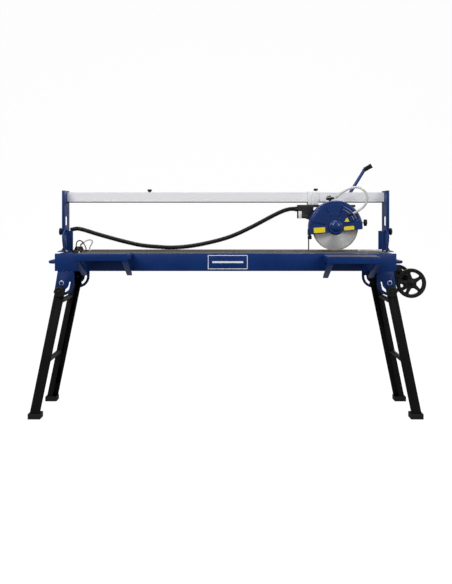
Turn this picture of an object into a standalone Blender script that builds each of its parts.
"""Bridge tile cutter on folding legs: frame tray, tilting guide rail, sliding saw head and transport wheels.

Everything is set out from the middle of the frame (X right, Y back, Z up from the floor). The last step moves
the whole machine so that its origin lies under the middle of its footprint.
"""

import math

import bmesh
import bpy
from mathutils import Matrix, Vector

# Clearances
GAP = 0.0004
RUNNING_GAP = 0.0005
OVERLAP = 0.001

# Frame tray
FRAME_LENGTH = 1.765
FRAME_DEPTH = 0.500
FRAME_TOP = 0.857
RAIL_HEIGHT = 0.090
SHEET = 0.003
RAIL_FLANGE = 0.025
TRAY_WALL = 0.002
TRAY_DEPTH = 0.072
TRAY_END_ROOM = 0.018
TABLE_THICKNESS = 0.012
TABLE_PROUD = 0.003
TABLE_LEFT_ROOM = 0.116
TABLE_RIGHT_ROOM = 0.036

# Saw line and slot
BLADE_Y = -0.020
SLOT_FRONT = 0.010
SLOT_REAR = 0.040

# Support tables on the front
SUPPORT_INSET = 0.260
SUPPORT_SHIFT = 0.010
SUPPORT_WIDTH = 0.260
SUPPORT_REACH = 0.210
SUPPORT_LIP = 0.035
LEFT_SUPPORT_TOP = 0.865
RIGHT_SUPPORT_TOP = 0.851
STRUT_WIDTH = 0.027
STRUT_DROP = 0.085

# Legs and their brackets
PIVOT_INSET = 0.0345
PIVOT_Z = 0.7055
PIVOT_RADIUS = 0.0085
BRACKET_SHEET = 0.004
BRACKET_RADIUS = 0.066
BRACKET_OUTER = 0.030
LEG_ANGLE = math.radians(11.65)
LEG_WIDTH = 0.052
LEG_DEPTH = 0.060
LEG_INNER_FLANGE = 0.030
LEG_TOP_RUN = 0.026
LEG_SHEET = 0.003
BRACE_RADIUS = 0.013
BRACE_HEIGHTS = (0.597, 0.282)
FOOT_WIDTH = 0.065
FOOT_DEPTH = 0.074
FOOT_HEIGHT = 0.028
FOOT_SOLE = 0.004
KNOB_ARC = 0.045
KNOB_SHANK = 0.0055
LEG_KNOB_RADIUS = 0.0285
LEG_KNOB_THICK = 0.024
SLOT_CLEARANCE = 0.0006

# Carry handles
HANDLE_Z = 0.804
HANDLE_REACH = 0.0745
HANDLE_HALF_SPAN = 0.080
HANDLE_RADIUS = 0.009
HANDLE_CORNER = 0.035

# Transport wheels
WHEEL_OUTSET = 0.0905
WHEEL_Z = 0.699
WHEEL_RADIUS = 0.0775
WHEEL_TREAD = 0.028
WHEEL_RIM = 0.016
WHEEL_TRACK = 0.360
WHEEL_HUB = 0.029
SPOKES = 5
SPOKE_WIDTH = 0.013
AXLE_RADIUS = 0.008

# Tilting bridge
TILT_Z = 0.882
QUADRANT_INSET = 0.016
QUADRANT_SHEET = 0.004
QUADRANT_RADIUS = 0.105
QUADRANT_FLANGE = 0.028
FOOT_FRONT = 0.060
FOOT_BACK = 0.080
FOOT_PLATE = 0.004
FOOT_PLATE_OUT = 0.036
TILT_SLOT_RADIUS = 0.085
PIVOT_BOLT_RADIUS = 0.0050
TILT_RANGE = math.radians(45.0)
ARM_SHEET = 0.003
ARM_FLANGE = 0.014
ARM_FRONT = -0.045
ARM_BACK = 0.100
ARM_FLANGE_BOTTOM = 0.926
ARM_EYE = 0.016
TILT_KNOB_RADIUS = 0.0195
TILT_KNOB_THICK = 0.018

# Guide rail
GUIDE_TOP = 1.181
GUIDE_HEIGHT = 0.056
GUIDE_FRONT = 0.030
GUIDE_DEPTH = 0.060
GUIDE_WALL = 0.006

# Carriage and saw head
HEAD_X = 0.595
HEAD_Z = 0.989
BLADE_RADIUS = 0.125
BLADE_THICK = 0.0022
BLADE_BORE = 0.0125
FLANGE_RADIUS = 0.030
GUARD_RADIUS = 0.146
GUARD_WALL = 0.004
GUARD_FRONT = -0.052
GUARD_BACK = 0.008
GUARD_CHORD_DROP = 0.024
GUARD_TILT = math.radians(6.0)
HUB_RADIUS = 0.041
HUB_STEP = 0.012
DOME_RADIUS = 0.031
MOTOR_RADIUS = 0.060
MOTOR_LENGTH = 0.200
VALVE_X = 0.566
VALVE_Y = -0.028
STAR_KNOB_Z = 1.016
STAR_KNOB_BOSS = 0.003
PLUNGE_X = 0.435
PLUNGE_Z = 1.062
PLUNGE_BORE = 0.004
CARRIAGE_LEFT = 0.398
CARRIAGE_RIGHT = 0.710
CARRIAGE_PLATE = 0.006
CLAMP_LEFT = 0.452
CLAMP_WIDTH = 0.058
CLAMP_WALL = 0.009
CLAMP_DROP = 0.003
LOCK_INSET = 0.012
RAIL_STOP_X = -0.420
TOP_KNOB_RADIUS = 0.012
TOP_KNOB_THICK = 0.013
TOP_KNOB_SHANK = 0.005
CHEEK_GAP = 0.012
CHEEK_DROP = 0.024
GLAND_Y = 0.050
GLAND_Z = 1.090
HOSE_RADIUS = 0.0065
CONDUIT_RADIUS = 0.013
PUMP_LEAD_RADIUS = 0.003
PUMP_HOSE_RADIUS = 0.0035

# Pump in the open end of the tray
PUMP_INSET = 0.082
PUMP_WIDTH = 0.056
PUMP_DEPTH = 0.090
PUMP_TOP = 0.885

HALF_LENGTH = FRAME_LENGTH / 2
PIVOT_X = HALF_LENGTH - PIVOT_INSET
WHEEL_X = HALF_LENGTH + WHEEL_OUTSET
QUADRANT_X = HALF_LENGTH - QUADRANT_INSET
PUMP_X = PUMP_INSET - HALF_LENGTH
SUPPORT_CENTRE_X = HALF_LENGTH - SUPPORT_INSET
HALF_DEPTH = FRAME_DEPTH / 2
FRAME_BOTTOM = FRAME_TOP - RAIL_HEIGHT
TABLE_TOP = FRAME_TOP + TABLE_PROUD
RAIL_MIDDLE_Y = GUIDE_FRONT + GUIDE_DEPTH / 2
LOCK_X = CLAMP_LEFT + CLAMP_WIDTH - LOCK_INSET
STAR_KNOB_X = HEAD_X + math.sqrt(GUARD_RADIUS ** 2 - (STAR_KNOB_Z - HEAD_Z) ** 2)
VALVE_Z = HEAD_Z + math.sqrt(GUARD_RADIUS ** 2 - (VALVE_X - HEAD_X) ** 2)
TABLE_UNDER = TABLE_TOP - TABLE_THICKNESS
BRACKET_FACE = HALF_DEPTH - 0.0035
LEG_FACE = BRACKET_FACE - BRACKET_SHEET - GAP

model = None
cutters = None
materials = {}


def clear_scene():
    for obj in list(bpy.data.objects):
        bpy.data.objects.remove(obj, do_unlink=True)


def make_collections():
    global model, cutters
    model = bpy.data.collections.new("tile_cutter")
    cutters = bpy.data.collections.new("cutters")
    bpy.context.scene.collection.children.link(model)
    bpy.context.scene.collection.children.link(cutters)


def make_material(name, colour, roughness, metallic):
    material = bpy.data.materials.new(name)
    material.use_nodes = True
    shader = material.node_tree.nodes["Principled BSDF"]
    shader.inputs["Base Color"].default_value = (*colour, 1.0)
    shader.inputs["Roughness"].default_value = roughness
    shader.inputs["Metallic"].default_value = metallic
    material.diffuse_color = (*colour, 1.0)
    materials[name] = material


def make_materials():
    make_material("blue_paint", (0.012, 0.06, 0.22), 0.4, 0.0)
    make_material("black_paint", (0.012, 0.012, 0.014), 0.5, 0.0)
    make_material("black_plastic", (0.02, 0.02, 0.02), 0.55, 0.0)
    make_material("rubber", (0.03, 0.028, 0.026), 0.8, 0.0)
    make_material("aluminium", (0.8, 0.8, 0.82), 0.3, 1.0)
    make_material("steel", (0.62, 0.61, 0.6), 0.25, 1.0)
    make_material("zinc_plate", (0.6, 0.6, 0.58), 0.35, 1.0)
    make_material("clear_hose", (0.75, 0.74, 0.72), 0.3, 0.0)


# Building blocks


def add_object(name, mesh, material):
    obj = bpy.data.objects.new(name, mesh)
    if material:
        mesh.materials.append(materials[material])
    model.objects.link(obj)
    return obj


def block(name, low, high, material=None):
    """A box between two opposite corners."""
    low = Vector(low)
    high = Vector(high)
    shape = bmesh.new()
    bmesh.ops.create_cube(shape, size=1.0)
    size = high - low
    bmesh.ops.scale(shape, vec=size, verts=shape.verts)
    bmesh.ops.translate(shape, vec=(low + high) / 2, verts=shape.verts)
    mesh = bpy.data.meshes.new(name)
    shape.to_mesh(mesh)
    shape.free()
    return add_object(name, mesh, material)


def turn_to(axis):
    return Vector((0, 0, 1)).rotation_difference(Vector(axis)).to_matrix().to_4x4()


def rod(name, start, end, radius, material=None, sides=24, end_radius=None):
    """A round bar, or a cone where the end radius differs."""
    start = Vector(start)
    end = Vector(end)
    shape = bmesh.new()
    bmesh.ops.create_cone(
        shape,
        cap_ends=True,
        segments=sides,
        radius1=radius,
        radius2=radius if end_radius is None else end_radius,
        depth=(end - start).length,
    )
    place = Matrix.Translation((start + end) / 2) @ turn_to(end - start)
    bmesh.ops.transform(shape, matrix=place, verts=shape.verts)
    mesh = bpy.data.meshes.new(name)
    shape.to_mesh(mesh)
    shape.free()
    mesh.shade_smooth()
    mesh.set_sharp_from_angle(angle=math.radians(40))
    return add_object(name, mesh, material)


def dome(name, centre, radii, material=None):
    shape = bmesh.new()
    bmesh.ops.create_uvsphere(shape, u_segments=20, v_segments=12, radius=1.0)
    bmesh.ops.scale(shape, vec=radii, verts=shape.verts)
    bmesh.ops.translate(shape, vec=centre, verts=shape.verts)
    mesh = bpy.data.meshes.new(name)
    shape.to_mesh(mesh)
    shape.free()
    mesh.shade_smooth()
    return add_object(name, mesh, material)


def mesh_of(curve_object, name, material):
    """Turns a curve into a closed mesh object and removes the curve."""
    graph = bpy.context.evaluated_depsgraph_get()
    mesh = bpy.data.meshes.new_from_object(curve_object.evaluated_get(graph))
    place = curve_object.matrix_world.copy()
    bpy.data.objects.remove(curve_object, do_unlink=True)
    shape = bmesh.new()
    shape.from_mesh(mesh)
    bmesh.ops.remove_doubles(shape, verts=shape.verts, dist=0.00002)
    bmesh.ops.transform(shape, matrix=place, verts=shape.verts)
    bmesh.ops.recalc_face_normals(shape, faces=shape.faces)
    shape.to_mesh(mesh)
    shape.free()
    mesh.name = name
    mesh.materials.clear()
    return add_object(name, mesh, material)


SIDE_VIEW = Matrix(((0, 0, 1, 0), (1, 0, 0, 0), (0, 1, 0, 0), (0, 0, 0, 1)))
FRONT_VIEW = Matrix(((1, 0, 0, 0), (0, 0, -1, 0), (0, 1, 0, 0), (0, 0, 0, 1)))
TOP_VIEW = Matrix.Identity(4)


def plate(name, outlines, start, end, view, material=None):
    """A flat outline with its holes, extruded between two offsets square to the view it is drawn in."""
    curve = bpy.data.curves.new(name, "CURVE")
    curve.dimensions = "2D"
    curve.fill_mode = "BOTH"
    curve.extrude = abs(end - start) / 2
    for outline in outlines:
        spline = curve.splines.new("POLY")
        spline.points.add(len(outline) - 1)
        for point, (u, v) in zip(spline.points, outline):
            point.co = (u, v, 0, 1)
        spline.use_cyclic_u = True
    obj = bpy.data.objects.new(name, curve)
    bpy.context.scene.collection.objects.link(obj)
    middle = (start + end) / 2
    offset = {0: (middle, 0, 0), 1: (0, middle, 0), 2: (0, 0, middle)}
    axis = [abs(round(view[row][2])) for row in range(3)].index(1)
    obj.matrix_world = Matrix.Translation(offset[axis]) @ view
    bpy.context.view_layer.update()
    return mesh_of(obj, name, material)


def arc(centre, radius, start_deg, end_deg, steps):
    """Points along an arc, both ends included."""
    points = []
    for step in range(steps + 1):
        angle = math.radians(start_deg + (end_deg - start_deg) * step / steps)
        points.append((centre[0] + radius * math.cos(angle), centre[1] + radius * math.sin(angle)))
    return points


def circle(centre, radius, steps=24):
    return arc(centre, radius, 0, 360 - 360 / steps, steps - 1)


def arc_slot(centre, radius, half_width, start_deg, end_deg, steps=16):
    """The outline of a curved slot with round ends."""
    ends = []
    for angle in (start_deg, end_deg):
        turn = math.radians(angle)
        ends.append((centre[0] + radius * math.cos(turn), centre[1] + radius * math.sin(turn)))
    outer = arc(centre, radius + half_width, start_deg, end_deg, steps)
    inner = arc(centre, radius - half_width, end_deg, start_deg, steps)
    far = arc(ends[1], half_width, end_deg, end_deg + 180, 6)[1:-1]
    near = arc(ends[0], half_width, start_deg + 180, start_deg + 360, 6)[1:-1]
    return outer + far + inner + near


def mirrored(outline, side):
    """An outline drawn for the right end, turned round for the left."""
    return [(side * u, v) for u, v in outline][:: 1 if side > 0 else -1]


def tube(name, points, radius, material, resolution=2):
    """A round tube along smooth points."""
    curve = bpy.data.curves.new(name, "CURVE")
    curve.dimensions = "3D"
    curve.bevel_depth = radius
    curve.bevel_resolution = resolution
    curve.use_fill_caps = True
    spline = curve.splines.new("POLY")
    spline.points.add(len(points) - 1)
    for point, co in zip(spline.points, points):
        point.co = (*co, 1)
    obj = bpy.data.objects.new(name, curve)
    bpy.context.scene.collection.objects.link(obj)
    bpy.context.view_layer.update()
    piece = mesh_of(obj, name, material)
    piece.data.shade_smooth()
    piece.data.set_sharp_from_angle(angle=math.radians(50))
    return piece


def smooth_route(points, spacing):
    """A Catmull-Rom curve through the route's points, cut into even steps."""
    points = [Vector(p) for p in points]
    ends = [points[0] * 2 - points[1]] + points + [points[-1] * 2 - points[-2]]
    fine = []
    for before, here, there, after in zip(ends, ends[1:], ends[2:], ends[3:]):
        for step in range(16):
            t = step / 16
            fine.append(
                0.5 * (2 * here + (there - before) * t
                       + (2 * before - 5 * here + 4 * there - after) * t * t
                       + (3 * here - before - 3 * there + after) * t ** 3)
            )
    fine.append(points[-1])
    lengths = [0.0]
    for here, there in zip(fine, fine[1:]):
        lengths.append(lengths[-1] + (there - here).length)
    count = max(2, round(lengths[-1] / spacing))
    route = []
    index = 0
    for step in range(count + 1):
        target = lengths[-1] * step / count
        while index < len(fine) - 2 and lengths[index + 1] < target:
            index += 1
        share = (target - lengths[index]) / (lengths[index + 1] - lengths[index])
        route.append(fine[index].lerp(fine[index + 1], share))
    return route


def helper(piece):
    """Moves a piece to the cutters, where it is only an operand."""
    for collection in list(piece.users_collection):
        collection.objects.unlink(piece)
    cutters.objects.link(piece)
    piece.hide_render = True
    piece.display_type = "WIRE"
    return piece


def combine(base, others, operation):
    for other in others:
        helper(other)
        step = base.modifiers.new(operation.lower(), "BOOLEAN")
        step.operation = operation
        step.solver = "EXACT"
        step.object = other
    return base


def join(base, *others):
    return combine(base, others, "UNION")


def cut(base, *others):
    return combine(base, others, "DIFFERENCE")


def hang(name, place, *pieces):
    """Hangs a moving group on an empty that stands on its joint's axis."""
    empty = bpy.data.objects.new(name + "_axis", None)
    model.objects.link(empty)
    empty.location = place
    for piece in pieces:
        piece.parent = empty
        piece.matrix_parent_inverse = Matrix.Translation(-Vector(place))
    return empty


# Frame tray


def long_rail(name, side):
    """A folded channel along the front (side -1) or the back (side 1) of the frame."""
    face = side * HALF_DEPTH
    inner = face - side * SHEET
    lip = face - side * RAIL_FLANGE
    outline = [
        (face, FRAME_BOTTOM),
        (face, FRAME_TOP),
        (lip, FRAME_TOP),
        (lip, FRAME_TOP - SHEET),
        (inner, FRAME_TOP - SHEET),
        (inner, FRAME_BOTTOM + SHEET),
        (lip, FRAME_BOTTOM + SHEET),
        (lip, FRAME_BOTTOM),
    ]
    return plate(name, [outline], -HALF_LENGTH, HALF_LENGTH, SIDE_VIEW, "blue_paint")


def end_plate(name, side):
    """An end of the frame with its carry handle welded on."""
    inside = HALF_DEPTH - SHEET - GAP
    low = FRAME_BOTTOM + SHEET + GAP
    high = FRAME_TOP - SHEET - GAP
    inner, outer = sorted((side * (HALF_LENGTH - SHEET), side * HALF_LENGTH))
    sheet = block(name, (inner, -inside, low), (outer, inside, high), "blue_paint")
    root = side * (HALF_LENGTH - SHEET / 2)
    reach = side * (HALF_LENGTH + HANDLE_REACH - HANDLE_RADIUS)
    points = [Vector((root, -HANDLE_HALF_SPAN, HANDLE_Z))]
    for corner, start in ((-1, -90), (1, 0)):
        middle = (reach - side * HANDLE_CORNER, corner * (HANDLE_HALF_SPAN - HANDLE_CORNER))
        for u, v in arc((0, 0), HANDLE_CORNER, start, start + 90, 6):
            points.append(Vector((middle[0] + side * u, middle[1] + v, HANDLE_Z)))
    points.append(Vector((root, HANDLE_HALF_SPAN, HANDLE_Z)))
    return join(sheet, tube(name + "_handle", points, HANDLE_RADIUS, None))


def water_tray():
    """The shallow tray under the tables, open at the top, with a drain hole."""
    length = HALF_LENGTH - TRAY_END_ROOM
    depth = HALF_DEPTH - RAIL_FLANGE - GAP
    top = TABLE_UNDER - GAP
    floor = top - TRAY_DEPTH
    tray = block("water_tray", (-length, -depth, floor), (length, depth, top), "blue_paint")
    hollow = block(
        "tray_hollow",
        (-length + TRAY_WALL, -depth + TRAY_WALL, floor + TRAY_WALL),
        (length - TRAY_WALL, depth - TRAY_WALL, top + OVERLAP),
    )
    drain_x = length - 0.060
    drain = rod("drain_hole", (drain_x, 0.12, floor - OVERLAP), (drain_x, 0.12, floor + 0.01), 0.0105)
    cut(tray, hollow, drain)
    head = rod("drain_plug", (drain_x, 0.12, floor - 0.012), (drain_x, 0.12, floor - GAP), 0.015,
               "black_plastic", 20)
    stem = rod("drain_stem", (drain_x, 0.12, floor - 0.006), (drain_x, 0.12, floor + 0.006), 0.0098)
    join(head, stem)


def tables():
    """Two rubber topped panels, one either side of the blade's slot."""
    left = -HALF_LENGTH + TABLE_LEFT_ROOM
    right = HALF_LENGTH - TABLE_RIGHT_ROOM
    edge = HALF_DEPTH - RAIL_FLANGE - GAP
    block("front_table", (left, -edge, TABLE_UNDER), (right, BLADE_Y - SLOT_FRONT, TABLE_TOP), "rubber")
    block("rear_table", (left, BLADE_Y + SLOT_REAR, TABLE_UNDER), (right, edge, TABLE_TOP), "rubber")


def support_table(name, side, top):
    """A pressed table in front of the frame, open underneath, with two flat struts welded to it."""
    low_x = side * SUPPORT_CENTRE_X + SUPPORT_SHIFT - SUPPORT_WIDTH / 2
    high_x = low_x + SUPPORT_WIDTH
    front = -HALF_DEPTH - SUPPORT_REACH
    back = -HALF_DEPTH - GAP
    table = block(name, (low_x, front, top - SUPPORT_LIP), (high_x, back, top), "blue_paint")
    under = block(
        name + "_under",
        (low_x + SHEET, front + SHEET, top - SUPPORT_LIP - OVERLAP),
        (high_x - SHEET, back + OVERLAP, top - SHEET),
    )
    cut(table, under)
    foot_z = top - SUPPORT_LIP - STRUT_DROP
    struts = []
    for strut_x in (low_x, high_x - STRUT_WIDTH):
        outline = [
            (front + 0.0005, top - SUPPORT_LIP + 0.006),
            (front + 0.016, top - SUPPORT_LIP + 0.006),
            (back - SHEET, foot_z + 0.014),
            (back, foot_z + 0.006),
            (back, foot_z),
            (back - 0.004, foot_z),
            (front + 0.0005, top - SUPPORT_LIP - 0.008),
        ]
        inset = 0.0005
        struts.append(plate(name + "_strut", [outline], strut_x + inset,
                            strut_x + STRUT_WIDTH - inset, SIDE_VIEW))
    return join(table, *struts)


# Folding legs


def leg_direction(side):
    return Vector((side * math.sin(LEG_ANGLE), 0, -math.cos(LEG_ANGLE)))


def leg_bracket(name, side, facing):
    """A plate under the frame that holds the leg's pivot, with a curved slot for the clamp knob."""
    pivot = (PIVOT_X, PIVOT_Z)
    outline = arc(pivot, BRACKET_RADIUS, 180, 297, 12)
    outline.append((PIVOT_X + BRACKET_OUTER + 0.005, PIVOT_Z - 0.030))
    outline.append((PIVOT_X + BRACKET_OUTER - 0.010, FRAME_BOTTOM - GAP))
    outline.append((PIVOT_X - BRACKET_RADIUS, FRAME_BOTTOM - GAP))
    rest = math.degrees(math.atan2(-math.cos(LEG_ANGLE), math.sin(LEG_ANGLE)))
    slot = arc_slot(pivot, KNOB_ARC, KNOB_SHANK + SLOT_CLEARANCE, 180, 360 + rest, 14)
    near, far = sorted((facing * (BRACKET_FACE - BRACKET_SHEET), facing * BRACKET_FACE))
    sheet = plate(name, [mirrored(outline, side), mirrored(slot, side)], near, far, FRONT_VIEW, "blue_paint")
    x = side * PIVOT_X
    bolt = rod(name + "_bolt", (x, facing * (LEG_FACE - LEG_SHEET - 0.008), PIVOT_Z),
               (x, facing * (BRACKET_FACE - 0.001), PIVOT_Z), 0.0050)
    head = rod(name + "_head", (x, facing * (BRACKET_FACE - 0.001), PIVOT_Z),
               (x, facing * (BRACKET_FACE + 0.006), PIVOT_Z), PIVOT_RADIUS)
    return join(sheet, bolt, head)


def strip_along_leg(side, across_low, across_high, top_run, lift=0.0):
    """The front view of a strip along the leg, measured across from its middle line, outwards positive."""
    along = leg_direction(side)
    across = Vector((side * math.cos(LEG_ANGLE), 0, math.sin(LEG_ANGLE)))
    start = Vector((side * PIVOT_X, 0, PIVOT_Z)) - along * top_run
    corners = []
    for offset in (across_low, across_high):
        top = start + across * offset
        low_z = FOOT_SOLE + GAP + lift
        bottom = top + along * ((top.z - low_z) / -along.z)
        corners.append((top, bottom))
    (a, b), (c, d) = corners
    return [(a.x, a.z), (b.x, b.z), (d.x, d.z), (c.x, c.z)]


def leg(name, side, facing):
    """A folded channel leg: a wide flange outside, a web and a narrow flange inside."""
    half = LEG_WIDTH / 2
    outer = facing * LEG_FACE
    inner = facing * (LEG_FACE - LEG_DEPTH)
    wide = strip_along_leg(side, -half, half, LEG_TOP_RUN)
    web = strip_along_leg(side, half - LEG_SHEET, half - 0.0005, LEG_TOP_RUN - 0.0006, 0.0005)
    narrow = strip_along_leg(side, half - LEG_INNER_FLANGE, half - 0.0010, LEG_TOP_RUN - 0.060, 0.0010)
    pivot_hole = circle((side * PIVOT_X, PIVOT_Z), PIVOT_BOLT_RADIUS + RUNNING_GAP)
    near, far = sorted((outer, outer - facing * LEG_SHEET))
    body = plate(name, [wide, pivot_hole], near, far, FRONT_VIEW, "black_paint")
    near, far = sorted((outer - facing * 0.0005, inner + facing * 0.0005))
    web_piece = plate(name + "_web", [web], near, far, FRONT_VIEW)
    near, far = sorted((inner, inner + facing * LEG_SHEET))
    narrow_piece = plate(name + "_flange", [narrow], near, far, FRONT_VIEW)
    return join(body, web_piece, narrow_piece)


def leg_point(side, height):
    """The leg's middle line at a height."""
    return side * (PIVOT_X + (PIVOT_Z - height) * math.tan(LEG_ANGLE))


def leg_brace(name, side, height):
    centre = leg_point(side, height) + side * (LEG_WIDTH / 2 - LEG_INNER_FLANGE / 2)
    reach = LEG_FACE - LEG_DEPTH - GAP
    return rod(name, (centre, -reach, height), (centre, reach, height), BRACE_RADIUS, "black_paint", 16)


def leg_foot(name, side, facing):
    """A rubber cap whose pocket takes the leg's channel."""
    centre = leg_point(side, FOOT_HEIGHT / 2)
    middle = facing * (LEG_FACE - LEG_DEPTH / 2)
    cap = block(name, (centre - FOOT_WIDTH / 2, middle - FOOT_DEPTH / 2, 0),
                (centre + FOOT_WIDTH / 2, middle + FOOT_DEPTH / 2, FOOT_HEIGHT), "rubber")
    half = LEG_WIDTH / 2 + GAP
    outline = strip_along_leg(side, -half, half, 0)
    lift = FOOT_HEIGHT + OVERLAP
    top_in = leg_point(side, lift) - side * half / math.cos(LEG_ANGLE)
    top_out = leg_point(side, lift) + side * half / math.cos(LEG_ANGLE)
    pocket = [outline[1], outline[2], (top_out, lift), (top_in, lift)]
    pocket[0] = (pocket[0][0], FOOT_SOLE)
    pocket[1] = (pocket[1][0], FOOT_SOLE)
    hollow = plate(name + "_pocket", [pocket], middle - LEG_DEPTH / 2 - GAP, middle + LEG_DEPTH / 2 + GAP,
                   FRONT_VIEW)
    return cut(cap, hollow)


def round_knob(name, centre, axis, shank_radius, shank_length, radius, thick, material="black_plastic"):
    """A clamp knob: its shank starts at the centre and its head stands on the end of the shank."""
    axis = Vector(axis)
    centre = Vector(centre)
    seat = centre + axis * shank_length
    top = seat + axis * thick
    neck = seat + axis * thick * 0.25
    head = rod(name, neck, top, radius, material, 20, radius * 0.9)
    collar = rod(name + "_collar", seat, neck + axis * 0.002, radius * 0.55, None, 16)
    shank = rod(name + "_shank", centre, seat + axis * 0.002, shank_radius, None, 12)
    return join(head, collar, shank)


def leg_knob(name, side, facing):
    place = Vector((side * PIVOT_X, facing * (LEG_FACE + GAP), PIVOT_Z)) + leg_direction(side) * KNOB_ARC
    reach = BRACKET_SHEET + GAP
    return round_knob(name, place, (0, facing, 0), KNOB_SHANK, reach, LEG_KNOB_RADIUS, LEG_KNOB_THICK)


def leg_pair(end, side):
    pivot = Vector((side * PIVOT_X, 0, PIVOT_Z))
    moving = []
    for row, facing in (("front", -1), ("rear", 1)):
        leg_bracket(f"{end}_{row}_leg_bracket", side, facing)
        moving.append(leg(f"{end}_{row}_leg", side, facing))
        moving.append(leg_foot(f"{end}_{row}_foot", side, facing))
    for label, height in zip(("upper", "lower"), BRACE_HEIGHTS):
        moving.append(leg_brace(f"{end}_{label}_brace", side, height))
    axis = hang(f"{end}_leg_fold", pivot, *moving)
    for row, facing in (("front", -1), ("rear", 1)):
        knob = leg_knob(f"{end}_{row}_leg_knob", side, facing)
        place = pivot + leg_direction(side) * KNOB_ARC + Vector((0, facing * LEG_FACE, 0))
        turning = hang(f"{end}_{row}_leg_knob", place, knob)
        turning.parent = axis
        turning.matrix_parent_inverse = Matrix.Translation(-pivot)


# Transport wheels


def wheel_carrier():
    """The axle on its two arms, bolted to the right end of the frame."""
    face = HALF_LENGTH + GAP
    arm_y = 0.145
    pad = block("wheel_carrier", (face, -arm_y, FRAME_BOTTOM + 0.003), (face + 0.004, arm_y, 0.791),
                "black_paint")
    outline = [
        (face + 0.0004, FRAME_BOTTOM + 0.0035),
        (WHEEL_X - 0.016, WHEEL_Z - 0.006),
        (WHEEL_X - 0.006, WHEEL_Z - 0.016),
        (WHEEL_X + 0.010, WHEEL_Z - 0.014),
        (WHEEL_X + 0.016, WHEEL_Z + 0.004),
        (face + 0.030, 0.7905),
        (face + 0.0004, 0.7905),
    ]
    arms = []
    for facing in (-1, 1):
        near, far = sorted((facing * (arm_y - 0.0002), facing * (arm_y - 0.0042)))
        arms.append(plate("carrier_arm", [outline], near, far, FRONT_VIEW))
    reach = WHEEL_TRACK / 2 + WHEEL_TREAD / 2 + 0.006
    axle = rod("carrier_axle", (WHEEL_X, -reach, WHEEL_Z), (WHEEL_X, reach, WHEEL_Z), AXLE_RADIUS)
    return join(pad, *arms, axle)


def wheel(name, facing):
    """A solid wheel with five spokes, open between them."""
    centre = (WHEEL_X, WHEEL_Z)
    outlines = [circle(centre, WHEEL_RADIUS, 40), circle(centre, AXLE_RADIUS + RUNNING_GAP, 20)]
    inner = WHEEL_RADIUS - WHEEL_RIM
    step = 360 / SPOKES
    for spoke in range(SPOKES):
        start = 103 + spoke * step
        rim_room = math.degrees(SPOKE_WIDTH / inner)
        hub_room = math.degrees(SPOKE_WIDTH / (WHEEL_HUB + 0.001))
        gap = arc(centre, inner, start + rim_room, start + step - rim_room, 6)
        gap += arc(centre, WHEEL_HUB, start + step - hub_room, start + hub_room, 3)
        outlines.append(gap)
    middle = facing * WHEEL_TRACK / 2
    piece = plate(name, outlines, middle - WHEEL_TREAD / 2, middle + WHEEL_TREAD / 2, FRONT_VIEW,
                  "black_plastic")
    hang(name + "_spin", (WHEEL_X, middle, WHEEL_Z), piece)
    return piece


# Tilting bridge


def tower_base(name, side):
    """A foot plate on the frame with the upright quadrant that the bridge's arm is clamped to."""
    pivot = (BLADE_Y, TILT_Z)
    foot_low = FRAME_TOP + GAP
    foot_high = foot_low + FOOT_PLATE
    outline = arc(pivot, QUADRANT_RADIUS, 58, 158, 14)
    outline.append((BLADE_Y - FOOT_FRONT, foot_high - OVERLAP))
    outline.append((BLADE_Y + 0.055, foot_high - OVERLAP))
    flange_y = BLADE_Y + 0.048
    half_slot = KNOB_SHANK + SLOT_CLEARANCE
    slot = arc_slot(pivot, TILT_SLOT_RADIUS, half_slot, 90, 90 + math.degrees(TILT_RANGE), 10)
    bore = circle(pivot, PIVOT_BOLT_RADIUS + RUNNING_GAP, 16)
    inner, outer = sorted((side * QUADRANT_X, side * (QUADRANT_X + QUADRANT_SHEET)))
    upright = plate(name, [outline, slot, bore], inner, outer, SIDE_VIEW, "blue_paint")
    foot_in = HALF_LENGTH - TABLE_RIGHT_ROOM + 0.002
    plate_in, plate_out = sorted((side * foot_in, side * (QUADRANT_X + FOOT_PLATE_OUT)))
    foot = block(name + "_foot", (plate_in, BLADE_Y - FOOT_FRONT, foot_low),
                 (plate_out, BLADE_Y + FOOT_BACK, foot_high))
    flange_in, flange_out = sorted((side * (QUADRANT_X - QUADRANT_FLANGE), side * (QUADRANT_X + 0.001)))
    flange = block(name + "_flange", (flange_in, flange_y, foot_high - OVERLAP),
                   (flange_out, flange_y + QUADRANT_SHEET, TILT_Z + 0.088))
    rib_in = side * (QUADRANT_X + QUADRANT_SHEET - 0.0005)
    rib = [
        (rib_in, foot_high - OVERLAP),
        (side * (QUADRANT_X + FOOT_PLATE_OUT - 0.002), foot_high - OVERLAP),
        (rib_in + side * 0.006, foot_high + 0.042),
        (rib_in, foot_high + 0.042),
    ]
    rib_y = BLADE_Y + 0.026
    rib_piece = plate(name + "_rib", [rib], rib_y, rib_y + 0.004, FRONT_VIEW)
    return join(upright, foot, rib_piece, flange)


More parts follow.
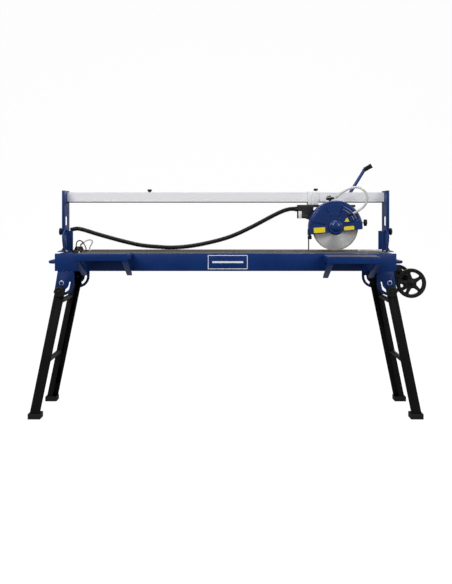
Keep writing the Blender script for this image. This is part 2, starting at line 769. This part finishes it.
def tower_arm(name, side):
    """The folded arm that carries one end of the guide rail and turns on the quadrant."""
    pivot = (BLADE_Y, TILT_Z)
    near = side * (QUADRANT_X + QUADRANT_SHEET + GAP)
    far = near + side * ARM_SHEET
    top = GUIDE_TOP + 0.008
    outline = arc(pivot, ARM_EYE, 180, 360, 10)
    outline += [
        (BLADE_Y + ARM_EYE + 0.004, ARM_FLANGE_BOTTOM - 0.020),
        (ARM_BACK, ARM_FLANGE_BOTTOM + 0.040),
        (ARM_BACK, top),
        (ARM_FRONT, top),
        (ARM_FRONT, ARM_FLANGE_BOTTOM),
        (BLADE_Y - ARM_EYE, ARM_FLANGE_BOTTOM - 0.014),
    ]
    window = [
        (-0.012, 0.998),
        (0.057, 1.005),
        (0.057, 1.048),
        (-0.012, 1.048),
    ]
    knob_hole = circle((BLADE_Y, TILT_Z + TILT_SLOT_RADIUS), KNOB_SHANK + RUNNING_GAP, 16)
    low, high = sorted((near, far))
    sheet = plate(name, [outline, window, knob_hole], low, high, SIDE_VIEW, "blue_paint")
    out = near + side * ARM_FLANGE
    low, high = sorted((near + side * 0.0004, out))
    front = block(name + "_front", (low, ARM_FRONT - 0.0004, ARM_FLANGE_BOTTOM + 0.0006),
                  (high, ARM_FRONT + ARM_SHEET, top - 0.0004))
    back = block(name + "_back", (low, ARM_BACK - ARM_SHEET, ARM_FLANGE_BOTTOM + 0.044),
                 (high, ARM_BACK + 0.0004, top - 0.0004))
    cap = block(name + "_cap", (low, ARM_FRONT + 0.0006, top - ARM_SHEET),
                (high, ARM_BACK - 0.0006, top + 0.0004))
    bolt = rod(name + "_pivot", (side * (QUADRANT_X - 0.004), BLADE_Y, TILT_Z),
               (near + side * 0.001, BLADE_Y, TILT_Z), PIVOT_BOLT_RADIUS, None, 16)
    return join(sheet, front, back, cap, bolt)


def guide_rail():
    """The aluminium extrusion that the carriage runs along, hollow, with a groove in its lower edge."""
    reach = QUADRANT_X + QUADRANT_SHEET
    low = GUIDE_TOP - GUIDE_HEIGHT
    back = GUIDE_FRONT + GUIDE_DEPTH
    wall = GUIDE_WALL
    outer = [
        (GUIDE_FRONT, low + 0.007),
        (GUIDE_FRONT, GUIDE_TOP),
        (back, GUIDE_TOP),
        (back, low + 0.007),
        (back - 0.005, low + 0.007),
        (back - 0.005, low),
        (GUIDE_FRONT + 0.005, low),
        (GUIDE_FRONT + 0.005, low + 0.007),
    ]
    hollow = [
        (GUIDE_FRONT + wall, low + 0.007 + wall),
        (GUIDE_FRONT + wall, GUIDE_TOP - wall),
        (back - wall, GUIDE_TOP - wall),
        (back - wall, low + 0.007 + wall),
    ]
    return plate("guide_rail", [outer, hollow], -reach, reach, SIDE_VIEW, "aluminium")


def rail_stop():
    """A clamp knob that stands in the groove on top of the rail and stops the carriage."""
    centre = (RAIL_STOP_X, RAIL_MIDDLE_Y, GUIDE_TOP + GAP)
    sizes = (TOP_KNOB_SHANK, 0.004, TOP_KNOB_RADIUS, TOP_KNOB_THICK)
    return round_knob("rail_stop_knob", centre, (0, 0, 1), *sizes)


def tilt_knob(name, side):
    start = (side * (QUADRANT_X - 0.001), BLADE_Y, TILT_Z + TILT_SLOT_RADIUS)
    reach = QUADRANT_SHEET + ARM_FLANGE + 0.003
    knob = round_knob(name, start, (side, 0, 0), KNOB_SHANK, reach, TILT_KNOB_RADIUS, TILT_KNOB_THICK)
    seat = QUADRANT_X + QUADRANT_SHEET + ARM_SHEET + 2 * GAP + 0.0004
    hub_end = (side * (QUADRANT_X + reach + 0.002), *start[1:])
    hub = rod(name + "_hub", (side * seat, *start[1:]), hub_end, 0.0095,
              None, 16)
    return join(knob, hub)


CONDUIT_ROUTE = (
    (-0.8600, 0.075, 0.9740),
    (-0.8400, 0.075, 0.9790),
    (-0.8190, 0.075, 0.9810),
    (-0.7810, 0.073, 0.9730),
    (-0.7170, 0.071, 0.9530),
    (-0.6320, 0.069, 0.9290),
    (-0.5480, 0.067, 0.9070),
    (-0.4630, 0.065, 0.8890),
    (-0.3630, 0.063, 0.8800),
    (-0.2860, 0.061, 0.8775),
    (-0.1900, 0.059, 0.8860),
    (-0.0770, 0.057, 0.9080),
    (0.0350, 0.055, 0.9410),
    (0.1480, 0.053, 0.9930),
    (0.2610, 0.051, 1.0530),
    (0.3200, 0.050, 1.0800),
    (0.3560, 0.050, 1.0895),
    (0.3815, 0.050, 1.0900),
)


def conduit():
    """The corrugated hose that carries the motor's cable along the rail."""
    return tube("cable_conduit", smooth_route(CONDUIT_ROUTE, 0.028), CONDUIT_RADIUS, "black_plastic")


# Carriage and saw head


def carriage_clamp():
    """The bright aluminium saddle that wraps the guide rail."""
    low = GUIDE_TOP - GUIDE_HEIGHT
    back = GUIDE_FRONT + GUIDE_DEPTH
    wall = CLAMP_WALL
    play = RUNNING_GAP
    outer = [
        (GUIDE_FRONT - wall, low - wall - CLAMP_DROP),
        (GUIDE_FRONT - wall, GUIDE_TOP + wall * 0.8),
        (back + wall, GUIDE_TOP + wall * 0.8),
        (back + wall, low - wall - CLAMP_DROP),
    ]
    inner = [
        (GUIDE_FRONT - play, low - play),
        (GUIDE_FRONT - play, GUIDE_TOP + play),
        (back + play, GUIDE_TOP + play),
        (back + play, low - play),
    ]
    right = CLAMP_LEFT + CLAMP_WIDTH
    clamp = plate("carriage_clamp", [outer, inner], CLAMP_LEFT, right, SIDE_VIEW, "aluminium")
    screw = rod("clamp_hole", (LOCK_X, RAIL_MIDDLE_Y, GUIDE_TOP), (LOCK_X, RAIL_MIDDLE_Y, GUIDE_TOP + 0.02),
                TOP_KNOB_SHANK + RUNNING_GAP, None, 12)
    return cut(clamp, screw)


def carriage_lock():
    centre = (LOCK_X, RAIL_MIDDLE_Y, GUIDE_TOP + GAP)
    return round_knob("carriage_lock_knob", centre, (0, 0, 1), TOP_KNOB_SHANK, 0.0085, TOP_KNOB_RADIUS,
                      TOP_KNOB_THICK)


def carriage_body():
    """The carriage under the rail: a block, two cheeks that hold the plunge pivot, and the cable gland."""
    top = GUIDE_TOP - GUIDE_HEIGHT - CLAMP_WALL - CLAMP_DROP - GAP
    floor = top - 0.013
    front = GUIDE_FRONT - CHEEK_GAP
    back = GUIDE_FRONT + GUIDE_DEPTH + CHEEK_GAP - 0.001
    body = block("carriage_body", (CARRIAGE_LEFT, front - CARRIAGE_PLATE, floor),
                 (CARRIAGE_RIGHT, back + CARRIAGE_PLATE, top), "black_paint")
    cheek = [
        (CARRIAGE_LEFT + 0.0004, PLUNGE_Z - CHEEK_DROP),
        (CARRIAGE_LEFT + 0.073, PLUNGE_Z - CHEEK_DROP),
        (CARRIAGE_LEFT + 0.085, floor + 0.004),
        (CARRIAGE_LEFT + 0.0004, floor + 0.004),
    ]
    bore = circle((PLUNGE_X, PLUNGE_Z), PLUNGE_BORE, 16)
    cheeks = []
    for face, away in ((front, -1), (back, 1)):
        low, high = sorted((face + away * 0.0002, face + away * (CARRIAGE_PLATE - 0.0004)))
        cheeks.append(plate("carriage_cheek", [cheek, bore], low, high, FRONT_VIEW))
    web = block("carriage_web", (CARRIAGE_LEFT + 0.0008, front - 0.0008, floor - 0.024),
                (CARRIAGE_LEFT + 0.0048, back + 0.0008, floor + 0.003))
    gland = rod("carriage_gland", (CARRIAGE_LEFT - 0.016, GLAND_Y, GLAND_Z),
                (CARRIAGE_LEFT + 0.003, GLAND_Y, GLAND_Z), 0.0135, None, 16)
    return join(body, *cheeks, web, gland)


def head_arm():
    """The arm between the plunge pivot and the motor."""
    front = GUIDE_FRONT - CHEEK_GAP + GAP
    back = GUIDE_FRONT + GUIDE_DEPTH + CHEEK_GAP - 0.001 - GAP
    outline = arc((PLUNGE_X, PLUNGE_Z), 0.021, 100, 260, 10)
    outline += [
        (HEAD_X - MOTOR_RADIUS + 0.020, HEAD_Z + 0.010),
        (HEAD_X, HEAD_Z + 0.010),
        (HEAD_X + 0.012, HEAD_Z + MOTOR_RADIUS + 0.026),
        (PLUNGE_X + 0.030, PLUNGE_Z + 0.023),
    ]
    outline.reverse()
    bore = circle((PLUNGE_X, PLUNGE_Z), PLUNGE_BORE, 16)
    arm = plate("head_arm", [outline, bore], front, back, FRONT_VIEW, "black_paint")
    room_end = (HEAD_X, 0.25, HEAD_Z)
    motor_room = rod("motor_room", (HEAD_X, GUARD_BACK, HEAD_Z), room_end, MOTOR_RADIUS + GAP, None,
                     40)
    return cut(arm, motor_room)


def motor():
    """The motor's housing, a smooth drum with a stepped fan cap."""
    start = GUARD_BACK + GAP
    end = start + MOTOR_LENGTH
    body = rod("motor_housing", (HEAD_X, start, HEAD_Z), (HEAD_X, end - 0.045, HEAD_Z), MOTOR_RADIUS,
               "black_plastic", 40)
    cap = rod("motor_cap", (HEAD_X, end - 0.046, HEAD_Z), (HEAD_X, end, HEAD_Z), MOTOR_RADIUS - 0.003,
              None, 32, MOTOR_RADIUS - 0.010)
    bore = rod("motor_bore", (HEAD_X, start - 0.001, HEAD_Z), (HEAD_X, start + 0.012, HEAD_Z),
               BLADE_BORE + RUNNING_GAP, None, 20)
    return cut(join(body, cap), bore)


NOZZLE = Vector((0.667, -0.066, 1.057))
NOZZLE_RUN = Vector((0.017, -0.004, 0.0075))


def guard_outline(radius, drop, hub_radius):
    """The front view of the guard: most of a disc above a slanted chord, with the hub's bulge below it."""
    centre = (HEAD_X, HEAD_Z)
    edge = math.degrees(math.asin(drop / radius))
    tilt = math.degrees(GUARD_TILT)
    points = arc(centre, radius, tilt - edge, 180 + edge + tilt, 40)
    bulge = math.degrees(math.asin(drop / hub_radius))
    return points + arc(centre, hub_radius, 180 + bulge + tilt, 360 - bulge + tilt, 12)


def blade_guard():
    """The pressed guard: a shallow drum, open below, with a stepped hub and a domed centre."""
    outer = guard_outline(GUARD_RADIUS, GUARD_CHORD_DROP, HUB_RADIUS)
    inner = guard_outline(GUARD_RADIUS - GUARD_WALL, GUARD_CHORD_DROP + 0.0001, HUB_RADIUS - GUARD_WALL)
    shell = plate("blade_guard", [outer], GUARD_FRONT, GUARD_BACK, FRONT_VIEW, "blue_paint")
    cavity = plate("guard_cavity", [inner], GUARD_FRONT + GUARD_WALL, GUARD_BACK - GUARD_WALL, FRONT_VIEW)
    low = Matrix.Rotation(-GUARD_TILT, 4, "Y")
    mouth = block("guard_mouth", (-GUARD_RADIUS + GUARD_WALL + 0.003, GUARD_FRONT + GUARD_WALL, -0.080),
                  (GUARD_RADIUS - GUARD_WALL - 0.003, GUARD_BACK - GUARD_WALL, -0.010))
    mouth.matrix_world = Matrix.Translation((HEAD_X, 0, HEAD_Z)) @ low
    boss = rod("guard_bore", (HEAD_X, GUARD_BACK - 0.02, HEAD_Z), (HEAD_X, GUARD_BACK + 0.01, HEAD_Z), 0.016,
               None, 24)
    hub = rod("guard_hub", (HEAD_X, GUARD_FRONT + 0.0005, HEAD_Z), (HEAD_X, GUARD_FRONT - HUB_STEP, HEAD_Z),
              HUB_RADIUS - 0.0015, None, 28, HUB_RADIUS - 0.006)
    nose = dome("guard_dome", (HEAD_X, GUARD_FRONT - HUB_STEP + 0.002, HEAD_Z + 0.006),
                (DOME_RADIUS - 0.003, 0.012, DOME_RADIUS - 0.003))
    stub = rod("valve_stub", (VALVE_X, VALVE_Y, VALVE_Z - 0.006), (VALVE_X, VALVE_Y, VALVE_Z + 0.007), 0.006,
               None, 12)
    valve_body = rod("valve_body", (VALVE_X - 0.020, VALVE_Y, VALVE_Z + 0.012),
                     (VALVE_X + 0.024, VALVE_Y, VALVE_Z + 0.016), 0.0075, None, 16)
    nozzle = rod("guard_nozzle", (NOZZLE.x, GUARD_FRONT + 0.0006, NOZZLE.z), NOZZLE - Vector((0, 0.005, 0)),
                 0.0065, None, 12)
    elbow = rod("guard_elbow", NOZZLE, NOZZLE + NOZZLE_RUN, 0.0067, None, 12)
    knob_boss = rod("knob_boss", (STAR_KNOB_X - 0.006, BLADE_Y, STAR_KNOB_Z),
                    (STAR_KNOB_X + STAR_KNOB_BOSS, BLADE_Y, STAR_KNOB_Z), 0.0095, None, 12)
    guard = cut(shell, cavity, mouth, boss)
    return join(guard, hub, nose, stub, valve_body, nozzle, elbow, knob_boss)


def water_tap():
    """The small lever on top of the water valve."""
    top = VALVE_Z + 0.0235
    low, high = (VALVE_X - 0.017, VALVE_Y - 0.005, top), (VALVE_X + 0.004, VALVE_Y + 0.005, top + 0.005)
    lever = block("water_tap", low, high,
                  "black_plastic")
    hub = rod("tap_hub", (VALVE_X, VALVE_Y, top - 0.0008), (VALVE_X, VALVE_Y, top + 0.0065), 0.0045, None, 12)
    join(lever, hub)
    return lever, (VALVE_X, VALVE_Y, top)


def saw_blade():
    """The diamond disc."""
    back = BLADE_Y + BLADE_THICK / 2
    outlines = [circle((HEAD_X, HEAD_Z), BLADE_RADIUS, 64), circle((HEAD_X, HEAD_Z), BLADE_BORE, 24)]
    return plate("diamond_blade", outlines, back - BLADE_THICK, back, FRONT_VIEW, "steel")


def arbor():
    """The motor's spindle with the two flanges that clamp the blade, and its nut."""
    half = BLADE_THICK / 2 + GAP
    shaft = rod("blade_arbor", (HEAD_X, BLADE_Y - 0.022, HEAD_Z), (HEAD_X, GUARD_BACK + 0.010, HEAD_Z),
                BLADE_BORE - GAP, "zinc_plate", 24)
    pieces = []
    for start, end in ((BLADE_Y - half - 0.006, BLADE_Y - half), (BLADE_Y + half, BLADE_Y + half + 0.006)):
        flange = rod("arbor_flange", (HEAD_X, start, HEAD_Z), (HEAD_X, end, HEAD_Z), FLANGE_RADIUS, None, 28)
        pieces.append(flange)
    nut_start, nut_end = BLADE_Y - half - 0.016, BLADE_Y - half - 0.005
    pieces.append(rod("arbor_nut", (HEAD_X, nut_start, HEAD_Z), (HEAD_X, nut_end, HEAD_Z), 0.017, None, 6))
    return join(shaft, *pieces)


WATER_ROUTE = (
    (0.5948, -0.028, 1.1500),
    (0.6070, -0.030, 1.1595),
    (0.6310, -0.036, 1.1780),
    (0.6690, -0.044, 1.1990),
    (0.7060, -0.052, 1.2070),
    (0.7360, -0.060, 1.1960),
    (0.7575, -0.068, 1.1700),
    (0.7600, -0.074, 1.1370),
    (0.7440, -0.078, 1.1050),
    (0.7150, -0.078, 1.0815),
    (0.6980, -0.0735, 1.0710),
    (0.6850, -0.0702, 1.0650),
)


def water_hose():
    return tube("water_hose", smooth_route(WATER_ROUTE, 0.014), HOSE_RADIUS, "clear_hose")


def star_knob():
    start = STAR_KNOB_X + STAR_KNOB_BOSS + GAP
    return round_knob("guard_star_knob", (start, BLADE_Y, STAR_KNOB_Z), (1, 0, 0), 0.005, 0.008, 0.018, 0.020)


def splash_flap():
    """A rubber strip in its holder at the front end of the guard."""
    corner = HEAD_X - GUARD_RADIUS * math.cos(math.radians(9.0))
    holder = block("splash_flap", (corner - 0.004, BLADE_Y - 0.014, 0.925),
                   (corner + 0.016, BLADE_Y + 0.014, 0.9455), "rubber")
    strip = block("flap_strip", (corner - 0.002, BLADE_Y - 0.0115, 0.866),
                  (corner + 0.003, BLADE_Y + 0.0115, 0.9265))
    return join(holder, strip)


LEVER_ROOM = 0.035
LEVER_Y = GUIDE_FRONT + GUIDE_DEPTH + LEVER_ROOM
LEVER_FOOT = Vector((0.6165, LEVER_Y, 1.0480))
LEVER_TOP = Vector((0.7725, LEVER_Y, 1.3020))
GRIP_TURN = Vector((0.7750, LEVER_Y, 1.3090))
GRIP_END = Vector((0.8160, LEVER_Y - 0.013, 1.3330))
LEVER_RADIUS = 0.009


def feed_lever():
    """The bar that pulls the saw head along, bent at the top where its grip is pushed on."""
    points = [LEVER_FOOT, LEVER_TOP, GRIP_TURN, GRIP_TURN.lerp(GRIP_END, 0.9)]
    bar = tube("feed_lever", points, LEVER_RADIUS, "blue_paint")
    pad_low = (HEAD_X + 0.006, LEVER_Y - 0.017, HEAD_Z + MOTOR_RADIUS - 0.012)
    pad = block("lever_pad", pad_low, (HEAD_X + 0.034, LEVER_Y + 0.017, HEAD_Z + MOTOR_RADIUS + 0.006))
    join(bar, pad)
    motor_room = rod("lever_motor_room", (HEAD_X, LEVER_Y - 0.025, HEAD_Z), (HEAD_X, LEVER_Y + 0.025, HEAD_Z),
                     MOTOR_RADIUS + GAP, None, 40)
    return cut(bar, motor_room)


def lever_grip():
    start = GRIP_TURN.lerp(GRIP_END, 0.06)
    direction = (GRIP_END - GRIP_TURN).normalized()
    grip = rod("lever_grip", start, GRIP_END, 0.0125, "rubber", 20, 0.0140)
    bore_end = GRIP_TURN.lerp(GRIP_END, 0.9) + direction * GAP * 2
    bore = rod("grip_bore", start - direction * 0.01, bore_end, LEVER_RADIUS + GAP * 2)
    return cut(grip, bore)


# Pump, leads and cutting guide


def pump():
    """The submersible pump that stands in the open end of the tray."""
    floor = TABLE_UNDER - GAP - TRAY_DEPTH + TRAY_WALL + GAP
    half = PUMP_WIDTH / 2
    body = block("water_pump", (PUMP_X - half, -PUMP_DEPTH / 2, floor),
                 (PUMP_X + half, PUMP_DEPTH / 2, PUMP_TOP - 0.018), "black_plastic")
    crown = rod("pump_crown", (PUMP_X, 0, PUMP_TOP - 0.020), (PUMP_X, 0, PUMP_TOP), 0.026, None, 20, 0.020)
    return join(body, crown)


PUMP_LEAD_ROUTE = (
    (-0.8150, 0.000, 0.8857),
    (-0.8152, 0.000, 0.8960),
    (-0.8100, -0.003, 0.9110),
    (-0.7960, -0.010, 0.9175),
    (-0.7800, -0.018, 0.9120),
    (-0.7660, -0.023, 0.8940),
    (-0.7585, -0.025, 0.8760),
    (-0.7560, -0.025, 0.8540),
)
PUMP_HOSE_ROUTE = (
    (-0.7900, -0.010, 0.8859),
    (-0.7896, -0.0100, 0.8920),
    (-0.7850, -0.007, 0.8990),
    (-0.7730, -0.002, 0.9080),
    (-0.7540, 0.001, 0.9190),
    (-0.7350, 0.003, 0.9210),
    (-0.7280, 0.006, 0.9100),
    (-0.7350, 0.009, 0.8950),
    (-0.7430, 0.011, 0.8790),
    (-0.7460, 0.012, 0.8540),
)


def pump_lines():
    tube("pump_lead", smooth_route(PUMP_LEAD_ROUTE, 0.010), PUMP_LEAD_RADIUS, "black_plastic")
    tube("pump_hose", smooth_route(PUMP_HOSE_ROUTE, 0.010), PUMP_HOSE_RADIUS, "clear_hose")


def cutting_guide():
    """A half round angle plate with a fence bar, lying on the front table."""
    low = TABLE_TOP + GAP
    centre = (0.765, -0.120)
    sector = arc(centre, 0.060, 0, 180, 16)
    disc = plate("cutting_guide", [sector], low, low + 0.008, TOP_VIEW, "aluminium")
    fence = block("guide_fence", (centre[0] - 0.064, centre[1] - 0.014, low),
                  (centre[0] + 0.064, centre[1] + 0.002, low + 0.014))
    return join(disc, fence)


# Assembly


def hang_on(parent, name, place, *pieces):
    """Hangs pieces on a joint that itself rides on another joint."""
    empty = hang(name, place, *pieces)
    empty.parent = parent
    empty.matrix_parent_inverse = Matrix.Translation(-Vector(parent.location))
    return empty


def bridge_and_head():
    bridge = []
    for end, side in (("left", -1), ("right", 1)):
        tower_base(f"{end}_tower_base", side)
        bridge.append(tower_arm(f"{end}_tower_arm", side))
    bridge += [guide_rail(), conduit()]
    pivot = Vector((0, BLADE_Y, TILT_Z))
    tilt = hang("bridge_tilt", pivot, *bridge)

    for end, side in (("left", -1), ("right", 1)):
        knob = tilt_knob(f"{end}_tilt_knob", side)
        hang_on(tilt, f"{end}_tilt_knob", (side * QUADRANT_X, BLADE_Y, TILT_Z + TILT_SLOT_RADIUS), knob)
    hang_on(tilt, "rail_stop", (RAIL_STOP_X, RAIL_MIDDLE_Y, GUIDE_TOP), rail_stop())
    clamp_place = (CLAMP_LEFT, GUIDE_FRONT, GUIDE_TOP)
    carriage = hang_on(tilt, "carriage_slide", clamp_place, carriage_clamp(), carriage_body())
    hang_on(carriage, "carriage_lock", (LOCK_X, RAIL_MIDDLE_Y, GUIDE_TOP), carriage_lock())
    head_pieces = [head_arm(), motor(), blade_guard(), splash_flap()]
    head_pieces += [feed_lever(), lever_grip(), water_hose()]
    head = hang_on(carriage, "head_plunge", (PLUNGE_X, 0, PLUNGE_Z), *head_pieces)
    hang_on(head, "blade_spin", (HEAD_X, BLADE_Y, HEAD_Z), saw_blade(), arbor())
    tap, tap_place = water_tap()
    hang_on(head, "water_tap", tap_place, tap)
    hang_on(head, "star_knob", (STAR_KNOB_X, BLADE_Y, STAR_KNOB_Z), star_knob())


def stand_on_origin():
    """Moves the machine so that its origin is on the floor under the middle of its footprint."""
    left = -leg_point(1, FOOT_HEIGHT / 2) - FOOT_WIDTH / 2
    right = WHEEL_X + WHEEL_RADIUS
    front = -HALF_DEPTH - SUPPORT_REACH
    back = BRACKET_FACE + GAP + LEG_KNOB_THICK
    shift = Vector(((left + right) / 2, (front + back) / 2, 0))
    for obj in list(model.objects) + list(cutters.objects):
        if obj.parent is None:
            obj.location -= shift


def build():
    clear_scene()
    make_collections()
    make_materials()
    long_rail("front_rail", -1)
    long_rail("rear_rail", 1)
    end_plate("left_end_plate", -1)
    end_plate("right_end_plate", 1)
    water_tray()
    tables()
    support_table("left_support_table", -1, LEFT_SUPPORT_TOP)
    support_table("right_support_table", 1, RIGHT_SUPPORT_TOP)
    leg_pair("left", -1)
    leg_pair("right", 1)
    wheel_carrier()
    wheel("front_wheel", -1)
    wheel("rear_wheel", 1)
    bridge_and_head()
    pump()
    pump_lines()
    cutting_guide()
    bpy.context.view_layer.update()
    stand_on_origin()


build()
